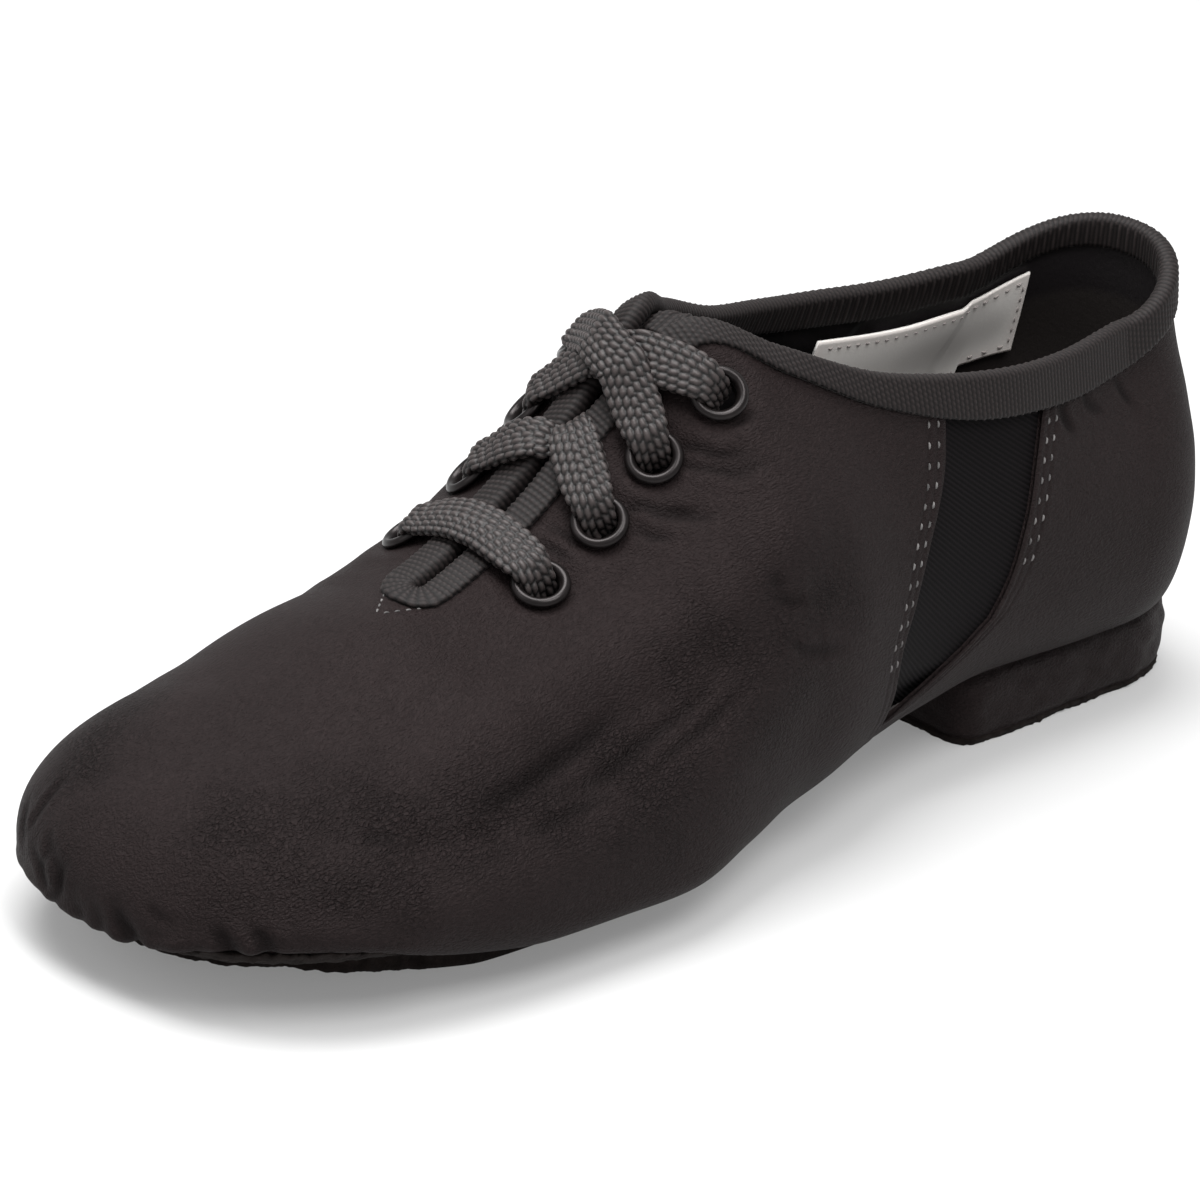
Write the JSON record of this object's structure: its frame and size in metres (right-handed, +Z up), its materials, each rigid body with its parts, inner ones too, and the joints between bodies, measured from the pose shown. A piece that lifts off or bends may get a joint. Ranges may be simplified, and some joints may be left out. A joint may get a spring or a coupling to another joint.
{
  "type": "jazz shoe",
  "caption": "Soft leather jazz shoe for the left foot: laced throat with bound edges, elastic side gores, suede forefoot pad and low covered heel.",
  "frame": {"origin": "the middle of the heel's flat underside, on the floor", "axes": "Z up from the floor, toe towards -Y, +X towards the outer side of this left shoe"},
  "size_m": [0.0864, 0.254, 0.0863],
  "materials": {
    "leather": "fine pebbled grain, soft satin",
    "heel_leather": "smooth, satin",
    "suede": "rough suede, matt",
    "lining": "matt",
    "tape": "ribbed woven tape, matt",
    "elastic": "finely ribbed elastic, matt",
    "lace": "flat braid, matt",
    "label": "bare satin ribbon",
    "eyelet": "gloss black"
  },
  "bodies": {
    "root": {"upper": "leather", "heel": "heel_leather", "forefoot_sole": "suede", "insole": "lining", "tongue": "leather", "tongue_binding": "tape", "collar_binding": "tape", "gore_outer": "elastic", "gore_inner": "elastic", "lace_bar": "lace", "lace_vee": "lace", "lace_cross": "lace", "label": "label", "eyelet_outer_1": "eyelet", "eyelet_outer_2": "eyelet", "eyelet_outer_3": "eyelet", "eyelet_outer_4": "eyelet", "eyelet_inner_1": "eyelet", "eyelet_inner_2": "eyelet", "eyelet_inner_3": "eyelet", "eyelet_inner_4": "eyelet"}
  },
  "joints": []
}
